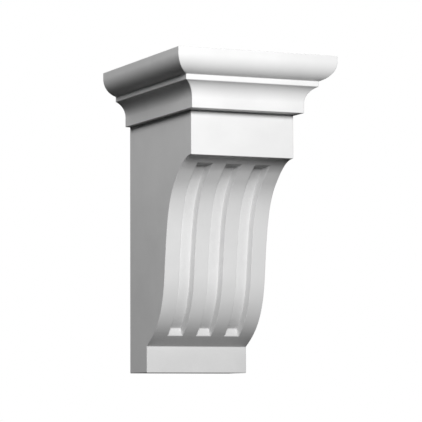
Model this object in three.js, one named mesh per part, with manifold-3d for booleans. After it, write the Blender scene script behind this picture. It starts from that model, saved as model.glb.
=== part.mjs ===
// A wall corbel cast in one piece of rigid polyurethane: a mitred crown on a plain block, a face that
// curves back in an S to a low plinth, and three sunk flutes down that face. The back is flat.
// Millimetres, +Z up. The wall is the plane Y = 0, the front faces -Y, and the origin is the middle of
// the back. Heights below are measured up from the underside, and depths out from the wall.
import * as THREE from 'three';
import { mergeVertices } from 'three/addons/utils/BufferGeometryUtils.js';
import Module from 'manifold-3d';

const HEIGHT = 300;
const BODY_WIDTH = 107;

const PLINTH_TOP = 26;
const PLINTH_DEPTH = 44;
const BLOCK_BOTTOM = 204;
const BLOCK_DEPTH = 155;

// The crown's moulding has the same outline on all three sides, given as a reach past the face below.
// The front face of its core stands out from the block by CROWN_SET_OUT.
const CROWN_BOTTOM = 246.5;
const CROWN_SET_OUT = 9;
const COVE_FOOT_REACH = 5;
const COVE_SPRING = 256;
const COVE_RADIUS = 16.5;
const FILLET_REACH = 15.5;
const OVOLO_REACH = 29;
const OVOLO_SPRING = 294;
const OVOLO_RADIUS = 18;
const ARC_SEGMENTS = 12;

// The S-curve, as [depth, height]: it leaves the block level, falls almost straight down past
// mid-height, and swells back to the plinth.
const SHOULDER = [116.8, 183.6];
const WAIST = [89.4, 95.2];
const SHOULDER_HANDLES = [[139, BLOCK_BOTTOM], [127.4, 194]];
const WAIST_HANDLES = [[99.6, 166.8], [94.6, 143.5]];
const FOOT_HANDLES = [[84.6, 50.7], [64.4, 37.4]];
const S_SEGMENTS = 16;

const FLUTE_COUNT = 3;
const FLUTE_PITCH = 30.25;
const FLUTE_WIDTH = 16;
const FLUTE_FLOOR_WIDTH = 11.5;
const FLUTE_SINK = 6;
// Where a flute's top end leaves the face, as [depth, height], and how steeply it falls going in.
const FLUTE_HEAD = [135.5, 198.7];
const FLUTE_HEAD_SLOPE = 0.11;
const FLUTE_FOOT_DEPTH = 59.8;
const FLUTE_STEPS = 56;
// How far a cutting solid runs past the surface that it cuts.
const CUT_MARGIN = 4;

const wasm = await Module();
wasm.setup();

function solidOf(geometry) {
  const bare = geometry.clone();
  bare.deleteAttribute('normal');
  bare.deleteAttribute('uv');
  const merged = mergeVertices(bare);
  return new wasm.Manifold(new wasm.Mesh({
    numProp: 3,
    vertProperties: new Float32Array(merged.attributes.position.array),
    triVerts: new Uint32Array(merged.index.array),
  }));
}

function geometryOf(solid) {
  const mesh = solid.getMesh();
  const geometry = new THREE.BufferGeometry();
  geometry.setAttribute('position', new THREE.BufferAttribute(mesh.vertProperties, 3));
  geometry.setIndex(new THREE.BufferAttribute(mesh.triVerts, 1));
  geometry.computeVertexNormals();
  return geometry;
}

// Points along an arc, from one angle to another about its centre.
function arc([centreReach, centreHeight], radius, from, to) {
  const points = [];
  for (let i = 0; i <= ARC_SEGMENTS; i += 1) {
    const angle = from + ((to - from) * i) / ARC_SEGMENTS;
    points.push([centreReach + radius * Math.cos(angle), centreHeight + radius * Math.sin(angle)]);
  }
  return points;
}

// The crown's outline from its underside up, as [reach, height]. A small upright fillet parts the cove
// from the ovolo.
function crownOutline() {
  const coveCentre = COVE_FOOT_REACH + COVE_RADIUS;
  const coveSweep = Math.acos((coveCentre - FILLET_REACH) / COVE_RADIUS);
  const ovoloCentre = OVOLO_REACH - OVOLO_RADIUS;
  const ovoloSweep = Math.acos((FILLET_REACH - ovoloCentre) / OVOLO_RADIUS);
  return [
    [COVE_FOOT_REACH, CROWN_BOTTOM],
    ...arc([coveCentre, COVE_SPRING], COVE_RADIUS, Math.PI, Math.PI - coveSweep),
    ...arc([ovoloCentre, OVOLO_SPRING], OVOLO_RADIUS, -ovoloSweep, 0),
    [OVOLO_REACH, HEIGHT],
  ];
}

// The three stretches of the S-curve from the plinth up, each as its four control points.
function sCurveStretches() {
  return [
    [[PLINTH_DEPTH, PLINTH_TOP], FOOT_HANDLES[1], FOOT_HANDLES[0], WAIST],
    [WAIST, WAIST_HANDLES[1], WAIST_HANDLES[0], SHOULDER],
    [SHOULDER, SHOULDER_HANDLES[1], SHOULDER_HANDLES[0], [BLOCK_DEPTH, BLOCK_BOTTOM]],
  ];
}

// The corbel seen from its side, X as depth and Y as height.
function sideShape() {
  const shape = new THREE.Shape();
  shape.moveTo(0, 0);
  shape.lineTo(PLINTH_DEPTH, 0);
  shape.lineTo(PLINTH_DEPTH, PLINTH_TOP);
  for (const [, firstHandle, secondHandle, end] of sCurveStretches()) {
    shape.bezierCurveTo(...firstHandle, ...secondHandle, ...end);
  }
  shape.lineTo(BLOCK_DEPTH, CROWN_BOTTOM);
  for (const [reach, height] of crownOutline()) {
    shape.lineTo(BLOCK_DEPTH + CROWN_SET_OUT + reach, height);
  }
  shape.lineTo(0, HEIGHT);
  return shape;
}

// The corbel seen from the front, X as width and Y as height.
function frontShape() {
  const half = BODY_WIDTH / 2;
  const crown = crownOutline().map(([reach, height]) => [half + reach, height]);
  const rightSide = [[half, 0], [half, CROWN_BOTTOM], ...crown];
  const leftSide = rightSide.map(([x, height]) => [-x, height]).reverse();
  return new THREE.Shape([...rightSide, ...leftSide].map(([x, height]) => new THREE.Vector2(x, height)));
}

// A side view, drawn as depth and height, extruded to the given width about X = 0.
function extrudeSideView(shape, width) {
  const options = { depth: width, curveSegments: S_SEGMENTS, bevelEnabled: false };
  const geometry = new THREE.ExtrudeGeometry(shape, options);
  geometry.translate(0, 0, -width / 2);
  geometry.rotateX(Math.PI / 2);
  geometry.rotateZ(-Math.PI / 2);
  return geometry;
}

// Both views are extruded until they meet; where the two crowns meet they mitre.
function blank() {
  const crownWidth = BODY_WIDTH + 2 * OVOLO_REACH;
  const side = extrudeSideView(sideShape(), crownWidth + 2 * CUT_MARGIN);
  const crownDepth = BLOCK_DEPTH + CROWN_SET_OUT + OVOLO_REACH;
  const frontOptions = { depth: crownDepth + 2 * CUT_MARGIN, bevelEnabled: false };
  const front = new THREE.ExtrudeGeometry(frontShape(), frontOptions);
  front.rotateX(Math.PI / 2);
  front.translate(0, CUT_MARGIN, 0);
  return solidOf(side).intersect(solidOf(front));
}

// The room that a flute may take up, seen from the side: it stops it at an upright foot and a top end
// that falls slightly towards the back.
function fluteRoomShape() {
  const headHeightAt = (depth) => FLUTE_HEAD[1] + (depth - FLUTE_HEAD[0]) * FLUTE_HEAD_SLOPE;
  return new THREE.Shape([
    new THREE.Vector2(FLUTE_FOOT_DEPTH, PLINTH_TOP),
    new THREE.Vector2(BLOCK_DEPTH, PLINTH_TOP),
    new THREE.Vector2(BLOCK_DEPTH, headHeightAt(BLOCK_DEPTH)),
    new THREE.Vector2(FLUTE_FOOT_DEPTH, headHeightAt(FLUTE_FOOT_DEPTH)),
  ]);
}

// One flute: a splayed trough that follows the S-curve, held to its room.
function flute(x) {
  const path = new THREE.CurvePath();
  for (const stretch of sCurveStretches()) {
    const points = stretch.map(([depth, height]) => new THREE.Vector3(x, -depth, height));
    path.add(new THREE.CubicBezierCurve3(...points));
  }
  const splay = (FLUTE_WIDTH - FLUTE_FLOOR_WIDTH) / 2 / FLUTE_SINK;
  const mouthHalf = FLUTE_WIDTH / 2 + splay * CUT_MARGIN;
  const floorHalf = FLUTE_FLOOR_WIDTH / 2;
  const section = new THREE.Shape([
    new THREE.Vector2(-mouthHalf, CUT_MARGIN),
    new THREE.Vector2(-floorHalf, -FLUTE_SINK),
    new THREE.Vector2(floorHalf, -FLUTE_SINK),
    new THREE.Vector2(mouthHalf, CUT_MARGIN),
  ]);
  const trough = new THREE.ExtrudeGeometry(section, { steps: FLUTE_STEPS, extrudePath: path });
  const room = extrudeSideView(fluteRoomShape(), FLUTE_PITCH);
  room.translate(x, 0, 0);
  return solidOf(trough).intersect(solidOf(room));
}

function corbelSolid() {
  let solid = blank();
  for (let i = 0; i < FLUTE_COUNT; i += 1) {
    solid = solid.subtract(flute((i - (FLUTE_COUNT - 1) / 2) * FLUTE_PITCH));
  }
  return solid;
}

const primedWhite = new THREE.MeshStandardMaterial({ color: 0xf1f1ef, roughness: 0.55, metalness: 0 });

const corbel = new THREE.Mesh(geometryOf(corbelSolid()), primedWhite);
corbel.name = 'corbel';
corbel.position.z = -HEIGHT / 2;

const part = new THREE.Group();
part.add(corbel);

export default part;
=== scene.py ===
"""A white wall corbel moulded in one piece, with the studio and the camera that show it.

Metres, +Z up. The wall is the plane Y = 0, the front faces -Y, and the origin is the middle of the back.
In the casting's own profile, heights are measured up from its underside and depths out from the wall.
"""

import logging
import math
from collections.abc import Callable, Iterable
from dataclasses import dataclass, field

import bmesh
import bpy
from bmesh.types import BMEdge, BMesh, BMVert
from mathutils import Matrix, Vector

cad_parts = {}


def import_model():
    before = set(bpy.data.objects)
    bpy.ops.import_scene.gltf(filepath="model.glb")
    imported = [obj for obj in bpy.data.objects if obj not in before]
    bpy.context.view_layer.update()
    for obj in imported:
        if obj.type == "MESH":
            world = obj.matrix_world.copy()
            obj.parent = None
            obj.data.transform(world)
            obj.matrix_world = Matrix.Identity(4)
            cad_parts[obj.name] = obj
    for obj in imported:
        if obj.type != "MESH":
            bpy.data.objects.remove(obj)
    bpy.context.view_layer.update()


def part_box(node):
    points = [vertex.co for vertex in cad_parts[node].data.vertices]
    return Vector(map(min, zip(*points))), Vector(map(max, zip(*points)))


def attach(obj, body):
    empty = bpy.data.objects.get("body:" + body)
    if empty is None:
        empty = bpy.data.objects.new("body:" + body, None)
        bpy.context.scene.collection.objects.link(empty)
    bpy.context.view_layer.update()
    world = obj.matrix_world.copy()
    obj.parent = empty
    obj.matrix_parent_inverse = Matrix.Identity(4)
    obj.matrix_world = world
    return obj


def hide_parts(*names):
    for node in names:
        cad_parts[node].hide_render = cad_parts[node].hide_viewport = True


log = logging.getLogger("corbel")

Point = tuple[float, float]
Range = tuple[float, float]
Colour = tuple[float, float, float, float]

BODY = "root"
CAD_NODE = "corbel"

WHITE: Colour = (1.0, 1.0, 1.0, 1.0)
# A length or a slope smaller than this counts as none.
TINY = 1e-6


def crossing(measure: Callable[[float], float], target: float, low: float, high: float) -> float:
    """Finds where a measure that only rises or only falls passes a target, by halving.

    Args:
        measure: The measure, as a function of the place on a curve.
        target: The value that it passes.
        low: A place before the crossing.
        high: A place after it.

    Returns:
        The place where the measure equals the target.
    """
    halvings = 40
    rising = measure(high) > measure(low)
    for _ in range(halvings):
        middle = (low + high) / 2
        if (measure(middle) < target) == rising:
            low = middle
        else:
            high = middle
    return (low + high) / 2


def evenly(start: float, end: float, steps: int) -> list[float]:
    """Returns evenly spaced values after the start, up to and with the end."""
    return [start + (end - start) * step / steps for step in range(1, steps + 1)]


@dataclass(frozen=True)
class Level:
    """One level of the casting, where its outline has a half width and a depth from the wall."""

    half_width: float
    depth: float
    height: float


@dataclass(frozen=True)
class Spot:
    """Where a vertex of the face lies: its X, its place on the face's curve and how deep it is sunk."""

    x: float
    place: float
    sink: float


@dataclass(frozen=True)
class Stretch:
    """A cubic stretch of the face, its four control points as (depth, height)."""

    start: Point
    leaving: Point
    arriving: Point
    end: Point

    def point(self, t: float) -> Vector:
        """Finds a point of the stretch.

        Args:
            t: How far along it the point is, as a fraction.

        Returns:
            The point, as (depth, height).
        """
        s = 1 - t
        weights = (s**3, 3 * s * s * t, 3 * s * t * t, t**3)
        controls = (self.start, self.leaving, self.arriving, self.end)
        return sum((weight * Vector(at) for weight, at in zip(weights, controls)), Vector((0, 0)))

    def heading(self, t: float) -> Vector:
        """Finds which way the stretch runs.

        Args:
            t: How far along it, as a fraction.

        Returns:
            The direction, as (depth, height), with a length of 1.
        """
        s = 1 - t
        start, leaving, arriving, end = map(Vector, (self.start, self.leaving, self.arriving, self.end))
        pull = s * s * (leaving - start) + 2 * s * t * (arriving - leaving) + t * t * (end - arriving)
        return pull.normalized()


@dataclass(frozen=True)
class FaceCurve:
    """The face seen from the side: it swells out over the plinth, climbs, and turns level at the block.

    A place on it is a number from 0 at the plinth to 3 at the block, where each stretch takes up 1.
    """

    foot: Point = (0.0440, 0.0260)
    foot_handles: tuple[Point, Point] = ((0.0644, 0.0374), (0.0846, 0.0507))
    waist: Point = (0.0894, 0.0952)
    waist_handles: tuple[Point, Point] = ((0.0946, 0.1435), (0.0996, 0.1668))
    shoulder: Point = (0.1168, 0.1836)
    shoulder_handles: tuple[Point, Point] = ((0.1274, 0.1940), (0.1390, 0.2040))
    brow: Point = (0.1550, 0.2040)

    def stretches(self) -> tuple[Stretch, Stretch, Stretch]:
        """Returns the three stretches from the plinth up."""
        return (
            Stretch(self.foot, *self.foot_handles, self.waist),
            Stretch(self.waist, *self.waist_handles, self.shoulder),
            Stretch(self.shoulder, *self.shoulder_handles, self.brow),
        )

    @property
    def last_place(self) -> float:
        """The place where the face meets the block."""
        return float(len(self.stretches()))

    def locate(self, place: float) -> tuple[Stretch, float]:
        """Finds the stretch that holds a place.

        Args:
            place: The place.

        Returns:
            The stretch, and how far along it the place is, as a fraction.
        """
        stretches = self.stretches()
        index = min(int(place), len(stretches) - 1)
        return stretches[index], place - index

    def point(self, place: float) -> Vector:
        """Returns the (depth, height) at a place."""
        stretch, t = self.locate(place)
        return stretch.point(t)

    def inward(self, place: float) -> Vector:
        """Finds which way goes square into the casting.

        Args:
            place: The place on the face.

        Returns:
            The direction, as (depth, height), with a length of 1.
        """
        stretch, t = self.locate(place)
        heading = stretch.heading(t)
        return Vector((-heading.y, heading.x))


@dataclass(frozen=True)
class Flutes:
    """The flutes sunk in the face, with splayed sides, a flat floor, an upright foot and a falling head."""

    curve: FaceCurve
    count: int = 3
    pitch: float = 0.03025
    mouth_width: float = 0.0160
    floor_width: float = 0.0115
    sink: float = 0.0060
    foot_depth: float = 0.0598
    head: Point = (0.1355, 0.1987)
    head_slope: float = 0.11
    softness: float = 0.0009
    head_softness: float = 0.0003
    softening_lines: tuple[float, ...] = (-1.0, -0.55, -0.2, 0.0, 0.2, 0.55, 1.0)
    rows_between_ends: int = 120
    places_about_foot: Range = (0.0, 1.0)
    places_about_head: Range = (1.5, 3.0)

    @property
    def splay(self) -> float:
        """How far a side leans in for each metre that it goes down."""
        return (self.mouth_width - self.floor_width) / 2 / self.sink

    def centres(self) -> list[float]:
        """Returns the X of each flute's middle."""
        return [(index - (self.count - 1) / 2) * self.pitch for index in range(self.count)]

    def ladder(self, mouth_softness: float) -> list[float]:
        """Lists the sinks at which the mesh has a line, close together where an edge is rounded.

        Args:
            mouth_softness: How far the rounding of the mouth's edge reaches.

        Returns:
            The sinks in rising order, from just outside the mouth to just past the floor's edge.
        """
        mouth = [line * mouth_softness for line in self.softening_lines]
        floor = [self.sink + line * self.softness for line in self.softening_lines]
        return mouth + floor

    def from_foot(self, place: float) -> float:
        """Returns how far in from a place on the face the plane of the flute's foot lies."""
        inward = self.curve.inward(place)
        return (self.foot_depth - self.curve.point(place).x) / min(inward.x, -TINY)

    def from_head(self, place: float) -> float:
        """Works out how far in from a place on the face the plane of the flute's head lies.

        Args:
            place: The place.

        Returns:
            The distance, which is below 0 above the head.
        """
        point, inward = self.curve.point(place), self.curve.inward(place)
        head_height = self.head[1] + (point.x - self.head[0]) * self.head_slope
        return (head_height - point.y) / (inward.y - self.head_slope * inward.x)

    def foot_places(self) -> list[float]:
        """Returns the places of the mesh's rows at the flutes' foot, from the plinth up."""
        sinks = self.ladder(self.softness)
        return [crossing(self.from_foot, sink, *self.places_about_foot) for sink in sinks]

    def head_places(self) -> list[float]:
        """Returns the places of the mesh's rows at the flutes' head, from the plinth up."""
        sinks = sorted(self.ladder(self.head_softness) + [self.softness, self.sink / 2], reverse=True)
        return [crossing(self.from_head, sink, *self.places_about_head) for sink in sinks]

    def column_lines(self) -> list[float]:
        """Lists the lengthwise lines that the flutes need in the mesh.

        Returns:
            The X of each line.
        """
        half = self.mouth_width / 2
        reaches = [half - self.splay * sink for sink in self.ladder(self.softness)]
        return [centre + side * reach for centre in self.centres() for side in (-1, 1) for reach in reaches]

    @staticmethod
    def lesser(one: float, other: float, softness: float) -> float:
        """Returns the lesser of two sinks, rounded off where they are within the softness of each other."""
        overlap = max(softness - abs(one - other), 0) / softness
        return min(one, other) - overlap * overlap * softness / 4

    def sink_at(self, x: float, place: float) -> float:
        """Works out how deep the flutes are at one point of the face.

        Args:
            x: The point's X.
            place: Its place on the face's curve.

        Returns:
            The depth below the face, 0 on the lands.
        """
        from_middle = min(abs(x - centre) for centre in self.centres())
        from_side = (self.mouth_width / 2 - from_middle) / self.splay
        trough = self.lesser(from_side, self.sink, self.softness)
        trough = self.lesser(trough, self.from_foot(place), self.softness)
        trough = -self.lesser(-trough, 0, self.softness)
        head = -self.lesser(-self.from_head(place), 0, self.head_softness)
        return max(self.lesser(trough, head, self.head_softness), 0)


@dataclass(frozen=True)
class Crown:
    """The moulding mitred round the top: an upright lip, an ovolo, a small fillet and a cove."""

    body_half_width: float
    core_depth: float
    underside: float
    top: float
    reach: float
    foot_reach: float = 0.0050
    foot_height: float = 0.0095
    cove_radius: float = 0.0165
    fillet_reach: float = 0.0155
    lip_height: float = 0.0060
    ovolo_radius: float = 0.0180
    arc_steps: int = 16

    def arc(self, centre: Point, radius: float, start: float, end: float) -> list[Point]:
        """Lists points on an arc of the moulding's outline.

        Args:
            centre: The arc's centre, as (reach, height).
            radius: Its radius.
            start: The angle that it starts at.
            end: The angle that it ends at.

        Returns:
            The points, as (reach, height).
        """
        angles = [start, *evenly(start, end, self.arc_steps)]
        return [(centre[0] + radius * math.cos(a), centre[1] + radius * math.sin(a)) for a in angles]

    def levels(self) -> list[Level]:
        """Works out the moulding's levels.

        Returns:
            The levels from its underside up.
        """
        cove_centre = (self.foot_reach + self.cove_radius, self.underside + self.foot_height)
        cove_sweep = math.acos((cove_centre[0] - self.fillet_reach) / self.cove_radius)
        ovolo_centre = (self.reach - self.ovolo_radius, self.top - self.lip_height)
        ovolo_sweep = math.acos((self.fillet_reach - ovolo_centre[0]) / self.ovolo_radius)
        outline = [
            (self.foot_reach, self.underside),
            *self.arc(cove_centre, self.cove_radius, math.pi, math.pi - cove_sweep),
            *self.arc(ovolo_centre, self.ovolo_radius, -ovolo_sweep, 0.0),
            (self.reach, self.top),
        ]
        half, depth = self.body_half_width, self.core_depth
        return [Level(half + reach, depth + reach, height) for reach, height in outline]


@dataclass(frozen=True)
class Grain:
    """One noise in the skin: its features in a metre, its finer octaves and how high it stands."""

    scale: float
    detail: float
    height: float = 0.0


@dataclass(frozen=True)
class PrimedSkin:
    """Satin white primer over the moulded skin, with the faint peel and mottle that it dries to."""

    name: str = "primed_white"
    pale: Colour = (0.745, 0.745, 0.745, 1.0)
    deep: Colour = (0.705, 0.705, 0.705, 1.0)
    roughness: Range = (0.46, 0.60)
    refraction: float = 1.46
    mottle: Grain = Grain(scale=28.0, detail=3.0, height=0.00012)
    patches: Grain = Grain(scale=190.0, detail=2.0)
    peel: Grain = Grain(scale=1150.0, detail=1.5, height=0.000018)
    dust: Grain = Grain(scale=4200.0, detail=1.0, height=0.000005)
    noise_middle: Range = (0.3, 0.7)

    def noise(self, tree: bpy.types.NodeTree, grain: Grain) -> bpy.types.NodeSocket:
        """Adds a noise over the casting's own coordinates.

        Args:
            tree: The material's nodes.
            grain: What the noise is like.

        Returns:
            The noise's value, about 0.5 in the middle.
        """
        coordinates = tree.nodes.new("ShaderNodeTexCoord")
        noise = tree.nodes.new("ShaderNodeTexNoise")
        noise.inputs["Scale"].default_value = grain.scale
        noise.inputs["Detail"].default_value = grain.detail
        tree.links.new(coordinates.outputs["Object"], noise.inputs["Vector"])
        return noise.outputs["Fac"]

    def spread(
        self, tree: bpy.types.NodeTree, value: bpy.types.NodeSocket, ends: Range
    ) -> bpy.types.NodeSocket:
        """Spreads a noise's middle range over a range of its own.

        Args:
            tree: The material's nodes.
            value: The noise's value.
            ends: What the low and the high end of the noise's middle range become.

        Returns:
            The new value.
        """
        mapping = tree.nodes.new("ShaderNodeMapRange")
        for name, limit in zip(("From Min", "From Max", "To Min", "To Max"), (*self.noise_middle, *ends)):
            mapping.inputs[name].default_value = limit
        tree.links.new(value, mapping.inputs["Value"])
        return mapping.outputs["Result"]

    def relief(
        self,
        tree: bpy.types.NodeTree,
        height: bpy.types.NodeSocket,
        distance: float,
        under: bpy.types.NodeSocket | None,
    ) -> bpy.types.NodeSocket:
        """Adds one layer of fine relief over another.

        Args:
            tree: The material's nodes.
            height: The layer's height, from 0 to 1.
            distance: What a height of 1 measures.
            under: The normal of the layer below, if there is one.

        Returns:
            The normal with this layer in it.
        """
        bump = tree.nodes.new("ShaderNodeBump")
        bump.inputs["Strength"].default_value = 1.0
        bump.inputs["Distance"].default_value = distance
        tree.links.new(height, bump.inputs["Height"])
        if under is not None:
            tree.links.new(under, bump.inputs["Normal"])
        return bump.outputs["Normal"]

    def material(self) -> bpy.types.Material:
        """Makes the material: a tone, a sheen and a relief that each vary a little.

        Returns:
            The material.
        """
        material = bpy.data.materials.new(self.name)
        material.use_nodes = True
        tree = material.node_tree
        shader = tree.nodes["Principled BSDF"]
        shader.inputs["IOR"].default_value = self.refraction
        mottle = self.noise(tree, self.mottle)
        tone = tree.nodes.new("ShaderNodeMix")
        tone.data_type = "RGBA"
        tone.inputs["A"].default_value = self.deep
        tone.inputs["B"].default_value = self.pale
        tree.links.new(self.spread(tree, mottle, (0.0, 1.0)), tone.inputs["Factor"])
        tree.links.new(tone.outputs["Result"], shader.inputs["Base Color"])
        patches = self.spread(tree, self.noise(tree, self.patches), self.roughness)
        tree.links.new(patches, shader.inputs["Roughness"])
        normal = self.relief(tree, mottle, self.mottle.height, None)
        for grain in (self.peel, self.dust):
            normal = self.relief(tree, self.noise(tree, grain), grain.height, normal)
        tree.links.new(normal, shader.inputs["Normal"])
        return material


@dataclass
class Casting:
    """The whole corbel as it leaves its mould: crown, block, fluted face and plinth in one skin."""

    low: Vector
    high: Vector
    body_half_width: float = 0.0535
    block_top: float = 0.2465
    crown_set_out: float = 0.0090
    finish: PrimedSkin = field(default_factory=PrimedSkin)
    curve: FaceCurve = field(default_factory=FaceCurve)
    edge_rounding: float = 0.0006
    bevel_segments: int = 3
    crease_angle: float = math.radians(12)
    rows_past_ends: int = 16
    cut_tolerance: float = 1e-7
    least_fold: float = 0.00003
    name: str = "corbel_casting"
    flutes: Flutes = field(init=False)
    crown: Crown = field(init=False)

    def __post_init__(self) -> None:
        """Sets the flutes on the face and works out the crown from the solid's box."""
        self.flutes = Flutes(self.curve)
        self.crown = Crown(
            body_half_width=self.body_half_width,
            core_depth=self.curve.brow[0] + self.crown_set_out,
            underside=self.block_top,
            top=self.high.z - self.low.z,
            reach=self.high.x - self.body_half_width,
        )

    def face_places(self) -> list[float]:
        """Lists the places of the mesh's rows on the face.

        Returns:
            The places from above the plinth up to the block.
        """
        foot, head = self.flutes.foot_places(), self.flutes.head_places()
        return [
            *evenly(0.0, foot[0], self.rows_past_ends)[:-1],
            *foot,
            *evenly(foot[-1], head[0], self.flutes.rows_between_ends)[:-1],
            *head,
            *evenly(head[-1], self.curve.last_place, self.rows_past_ends),
        ]

    def levels(self) -> list[Level]:
        """Lists every level of the casting.

        Returns:
            The levels from the underside up.
        """
        half = self.body_half_width
        plinth_depth, plinth_top = self.curve.foot
        face = [self.curve.point(place) for place in self.face_places()]
        return [
            Level(half, plinth_depth, 0.0),
            Level(half, plinth_depth, plinth_top),
            *(Level(half, point.x, point.y) for point in face),
            Level(half, self.curve.brow[0], self.block_top),
            *self.crown.levels(),
        ]

    def start_chain(self, bm: BMesh, level: Level) -> list[BMEdge]:
        """Lays the three edges of one level: a side, the front and the other side.

        Args:
            bm: The mesh.
            level: The level.

        Returns:
            The edges in order.
        """
        half, depth = level.half_width, level.depth
        corners = [(-half, 0.0), (-half, -depth), (half, -depth), (half, 0.0)]
        verts = [bm.verts.new((x, y, self.low.z + level.height)) for x, y in corners]
        return [bm.edges.new(pair) for pair in zip(verts, verts[1:])]

    def raise_chain(self, bm: BMesh, chain: list[BMEdge], lower: Level, upper: Level) -> list[BMEdge]:
        """Extrudes a level's edges up to the next level.

        Args:
            bm: The mesh.
            chain: The lower level's edges.
            lower: The lower level.
            upper: The upper level.

        Returns:
            The upper level's edges.
        """
        made = bmesh.ops.extrude_edge_only(bm, edges=chain)["geom"]
        verts = {item for item in made if isinstance(item, BMVert)}
        spread = (upper.half_width / lower.half_width, upper.depth / lower.depth, 1.0)
        bmesh.ops.scale(bm, verts=list(verts), vec=spread)
        bmesh.ops.translate(bm, verts=list(verts), vec=(0.0, 0.0, upper.height - lower.height))
        return [item for item in made if isinstance(item, BMEdge) and verts.issuperset(item.verts)]

    def close(self, bm: BMesh) -> None:
        """Closes the underside, the top and the back with one flat face each.

        Args:
            bm: The mesh.
        """
        for height in (self.low.z, self.high.z):
            at_height = [vert for vert in bm.verts if abs(vert.co.z - height) < TINY]
            bm.edges.new([vert for vert in at_height if abs(vert.co.y) < TINY])
            rim = [edge for edge in bm.edges if all(abs(vert.co.z - height) < TINY for vert in edge.verts)]
            bmesh.ops.contextual_create(bm, geom=rim)
        back = [edge for edge in bm.edges if all(abs(vert.co.y) < TINY for vert in edge.verts)]
        bmesh.ops.contextual_create(bm, geom=back)
        bmesh.ops.recalc_face_normals(bm, faces=bm.faces[:])

    def soften(self, bm: BMesh) -> None:
        """Rounds the sharp edges.

        Args:
            bm: The mesh.
        """
        sharp = [edge for edge in bm.edges if edge.calc_face_angle(0.0) > self.crease_angle]
        bmesh.ops.bevel(
            bm,
            geom=sharp,
            offset=self.edge_rounding,
            offset_type="OFFSET",
            segments=self.bevel_segments,
            profile=0.5,
            affect="EDGES",
            clamp_overlap=True,
            material=-1,
        )

    def lay_columns(self, bm: BMesh, lowest: float, highest: float) -> None:
        """Divides the face between two heights along the flutes' lengthwise lines.

        Args:
            bm: The mesh.
            lowest: The lower height.
            highest: The upper height.
        """
        sideways = 0.01
        for x in self.flutes.column_lines():
            faces = [face for face in bm.faces if abs(face.normal.x) < sideways]
            faces = [face for face in faces if self.is_fluted(face.calc_center_median(), lowest, highest)]
            parts = {item for face in faces for item in (*face.verts, *face.edges, face)}
            bmesh.ops.bisect_plane(
                bm,
                geom=list(parts),
                dist=self.cut_tolerance,
                plane_co=(x, 0, 0),
                plane_no=(1, 0, 0),
            )

    def is_fluted(self, at: Vector, lowest: float, highest: float) -> bool:
        """Tells whether a point lies out past the plinth's front and between two heights."""
        return at.y < -self.curve.foot[0] and lowest - TINY < at.z < highest + TINY

    def cut_flutes(self, bm: BMesh) -> None:
        """Divides the face where the flutes run, and pushes it in there.

        Args:
            bm: The mesh.
        """
        foot, head = self.flutes.foot_places()[0], self.flutes.head_places()[-1]
        places = [place for place in self.face_places() if foot <= place <= head]
        heights = [self.low.z + self.curve.point(place).y for place in places]
        self.lay_columns(bm, heights[0], heights[-1])
        reach = max(self.flutes.column_lines())
        spots = {}
        for vert in bm.verts:
            if self.is_fluted(vert.co, heights[0], heights[-1]) and abs(vert.co.x) < reach + TINY:
                row = min(range(len(heights)), key=lambda index: abs(heights[index] - vert.co.z))
                spots[vert] = Spot(vert.co.x, places[row], self.flutes.sink_at(vert.co.x, places[row]))
        for vert, spot in spots.items():
            inward = self.curve.inward(spot.place) * spot.sink
            vert.co += Vector((0.0, -inward.x, inward.y))
        self.fold_corners(bm, spots)

    def fold_corners(self, bm: BMesh, spots: dict[BMVert, Spot]) -> None:
        """Folds the quads in the flutes' corners along the line where two sides meet.

        Args:
            bm: The mesh.
            spots: Where each vertex of the face lies.
        """
        for face in bm.faces[:]:
            if len(face.verts) != 4 or not spots.keys() >= set(face.verts):
                continue
            corners = [spots[vert] for vert in face.verts]
            middle_x = sum(spot.x for spot in corners) / 4
            middle = self.flutes.sink_at(middle_x, sum(spot.place for spot in corners) / 4)
            one, other = (corners[0].sink + corners[2].sink) / 2, (corners[1].sink + corners[3].sink) / 2
            if abs(one - other) > self.least_fold:
                first = 0 if abs(one - middle) < abs(other - middle) else 1
                bmesh.utils.face_split(face, face.verts[first], face.verts[first + 2])

    @staticmethod
    def settle_order(bm: BMesh) -> None:
        """Sorts the faces, which the cuts leave in an order that varies from run to run.

        Args:
            bm: The mesh.
        """
        bm.verts.index_update()
        # The cubes of its corners' numbers add up to a key that no other face has.
        bm.faces.sort(key=lambda face: sum(vert.index**3 for vert in face.verts))

    def mesh(self) -> bpy.types.Mesh:
        """Builds the casting's mesh from the underside up, then rounds it and sinks the flutes.

        Returns:
            The mesh.
        """
        bm = bmesh.new()
        levels = self.levels()
        chain = self.start_chain(bm, levels[0])
        for lower, upper in zip(levels, levels[1:]):
            chain = self.raise_chain(bm, chain, lower, upper)
        self.close(bm)
        self.soften(bm)
        self.cut_flutes(bm)
        self.settle_order(bm)
        for face in bm.faces:
            face.smooth = True
        mesh = bpy.data.meshes.new(self.name)
        bm.to_mesh(mesh)
        bm.free()
        return mesh

    def build(self) -> bpy.types.Object:
        """Builds and dresses the casting, and puts it in its solid's place.

        Returns:
            The casting.
        """
        piece = bpy.data.objects.new(self.name, self.mesh())
        bpy.context.scene.collection.objects.link(piece)
        weighted = piece.modifiers.new("even shading", "WEIGHTED_NORMAL")
        weighted.mode = "FACE_AREA"
        weighted.keep_sharp = False
        piece.data.materials.append(self.finish.material())
        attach(piece, BODY)
        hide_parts(CAD_NODE)
        return piece


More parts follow.
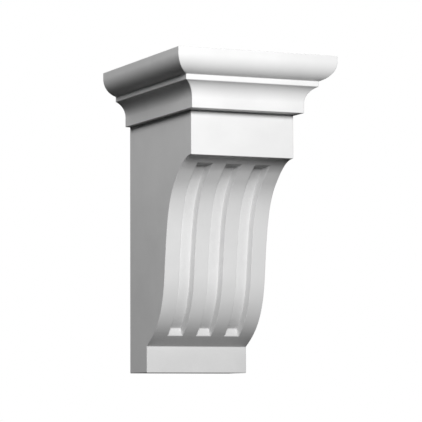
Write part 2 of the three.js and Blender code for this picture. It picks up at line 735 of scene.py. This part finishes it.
@dataclass(frozen=True)
class SoftLamp:
    """A square softbox that faces the corbel's middle.

    The azimuth runs from straight in front of the corbel, at 0 degrees, to its right side, at 90.
    """

    name: str
    azimuth: float
    elevation: float
    distance: float
    size: float
    power: float

    def build(self) -> bpy.types.Object:
        """Sets the lamp up where it belongs, out of the camera's sight.

        Returns:
            The lamp.
        """
        light = bpy.data.lights.new(self.name, "AREA")
        light.shape = "SQUARE"
        light.size = self.size
        light.energy = self.power
        lamp = bpy.data.objects.new(self.name, light)
        bpy.context.scene.collection.objects.link(lamp)
        azimuth, elevation = math.radians(self.azimuth), math.radians(self.elevation)
        out, up = self.distance * math.cos(elevation), self.distance * math.sin(elevation)
        lamp.location = (out * math.sin(azimuth), -out * math.cos(azimuth), up)
        lamp.rotation_mode = "QUATERNION"
        lamp.rotation_quaternion = (-lamp.location).to_track_quat("-Z", "Y")
        lamp.visible_camera = False
        return lamp


@dataclass
class Studio:
    """White surroundings, a plain pale floor well below the corbel, and soft lamps."""

    floor_height: float = -1.5
    floor_half: float = 30.0
    floor_tone: Colour = (0.85, 0.85, 0.85, 1.0)
    floor_roughness: float = 0.9
    floor_glow: float = 0.45
    fill: float = 0.015
    lamps: tuple[SoftLamp, ...] = (
        SoftLamp("key_lamp", azimuth=-12, elevation=15.5, distance=1.25, size=0.3, power=15.1),
        SoftLamp("left_lamp", azimuth=-125, elevation=43, distance=1.6, size=0.8, power=12.8),
        SoftLamp("right_lamp", azimuth=125, elevation=43, distance=1.6, size=0.8, power=12.8),
    )

    def surround(self) -> None:
        """Makes the world white where the camera sees it, and dim as a light."""
        world = bpy.data.worlds.new("studio")
        world.use_nodes = True
        tree = world.node_tree
        dim = tree.nodes["Background"]
        dim.inputs["Color"].default_value = WHITE
        dim.inputs["Strength"].default_value = self.fill
        white = tree.nodes.new("ShaderNodeBackground")
        white.inputs["Color"].default_value = WHITE
        path = tree.nodes.new("ShaderNodeLightPath")
        mix = tree.nodes.new("ShaderNodeMixShader")
        tree.links.new(path.outputs["Is Camera Ray"], mix.inputs["Fac"])
        tree.links.new(dim.outputs["Background"], mix.inputs[1])
        tree.links.new(white.outputs["Background"], mix.inputs[2])
        tree.links.new(mix.outputs["Shader"], tree.nodes["World Output"].inputs["Surface"])
        bpy.context.scene.world = world

    def floor(self) -> bpy.types.Object:
        """Builds the floor, which lights nothing.

        Returns:
            The floor.
        """
        bm = bmesh.new()
        bmesh.ops.create_grid(bm, x_segments=1, y_segments=1, size=self.floor_half)
        bmesh.ops.translate(bm, verts=bm.verts[:], vec=(0.0, 0.0, self.floor_height))
        mesh = bpy.data.meshes.new("floor")
        bm.to_mesh(mesh)
        bm.free()
        material = bpy.data.materials.new("floor_paint")
        material.use_nodes = True
        shader = material.node_tree.nodes["Principled BSDF"]
        shader.inputs["Base Color"].default_value = self.floor_tone
        shader.inputs["Roughness"].default_value = self.floor_roughness
        shader.inputs["Emission Color"].default_value = WHITE
        shader.inputs["Emission Strength"].default_value = self.floor_glow
        mesh.materials.append(material)
        floor = bpy.data.objects.new("floor", mesh)
        bpy.context.scene.collection.objects.link(floor)
        floor.visible_diffuse = False
        floor.visible_glossy = False
        return floor

    def build(self) -> list[bpy.types.Object]:
        """Builds the surroundings, the floor and the lamps.

        Returns:
            The lamps.
        """
        bpy.context.scene.view_settings.view_transform = "Standard"
        self.surround()
        self.floor()
        return [lamp.build() for lamp in self.lamps]


@dataclass(frozen=True)
class Viewpoint:
    """Where the camera stands: it looks up a little, from the left of the corbel's front."""

    aim: tuple[float, float, float] = (0.02947, -0.01303, 0.01380)
    distance: float = 2.3295
    yaw: float = math.radians(23.873)
    pitch: float = math.radians(4.743)
    roll: float = math.radians(-0.213)
    lens: float = 196.52
    sensor_width: float = 36.0

    def build(self) -> bpy.types.Object:
        """Sets the camera up as the scene's own.

        Returns:
            The camera.
        """
        optics = bpy.data.cameras.new("camera")
        optics.sensor_width = self.sensor_width
        optics.lens = self.lens
        camera = bpy.data.objects.new("camera", optics)
        bpy.context.scene.collection.objects.link(camera)
        turn = Matrix.Rotation(-self.yaw, 4, "Z") @ Matrix.Rotation(math.pi / 2 + self.pitch, 4, "X")
        turn = turn @ Matrix.Rotation(self.roll, 4, "Z")
        back = turn @ Vector((0.0, 0.0, self.distance))
        camera.matrix_world = Matrix.Translation(Vector(self.aim) + back) @ turn
        bpy.context.scene.camera = camera
        return camera


def main() -> None:
    """Loads the frame and builds the camera, the corbel and the studio around it."""
    logging.basicConfig(level=logging.INFO, format="%(name)s: %(message)s")
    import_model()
    camera = Viewpoint().build()
    log.info("%s: lens of %.1f mm", camera.name, camera.data.lens)
    casting = Casting(*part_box(CAD_NODE)).build()
    log.info("%s: %d faces", casting.name, len(casting.data.polygons))
    for lamp in Studio().build():
        log.info("%s: %.1f W", lamp.name, lamp.data.energy)


if __name__ == "__main__":
    main()
